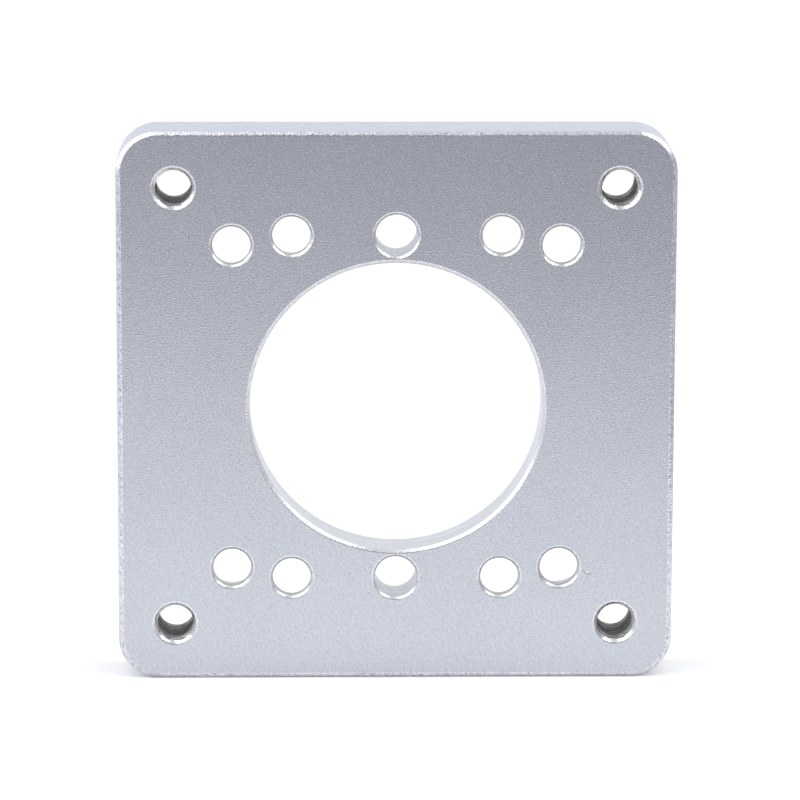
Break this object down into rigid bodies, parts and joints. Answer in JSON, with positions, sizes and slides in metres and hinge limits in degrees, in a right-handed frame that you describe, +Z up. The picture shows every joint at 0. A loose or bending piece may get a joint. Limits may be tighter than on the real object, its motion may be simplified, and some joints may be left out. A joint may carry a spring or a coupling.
{
  "type": "motor adapter plate",
  "caption": "Square aluminium plate that joins a flange motor to a linear slide, with a centre bore, tapped corners, counterbored screw holes and a pilot recess in its back.",
  "frame": {"origin": "on the bore's axis, in the plane of the front face", "axes": "+Z up, the plate standing on its lower edge; -Y out of the front face along the bore; +X to the right, seen from the front"},
  "size_m": [0.08, 0.01, 0.08],
  "materials": {
    "anodised_aluminium": "bead-blasted and clear anodised faces, bright machined bevels and mouths"
  },
  "bodies": {
    "root": {"adapter_plate": "anodised_aluminium"}
  },
  "joints": []
}
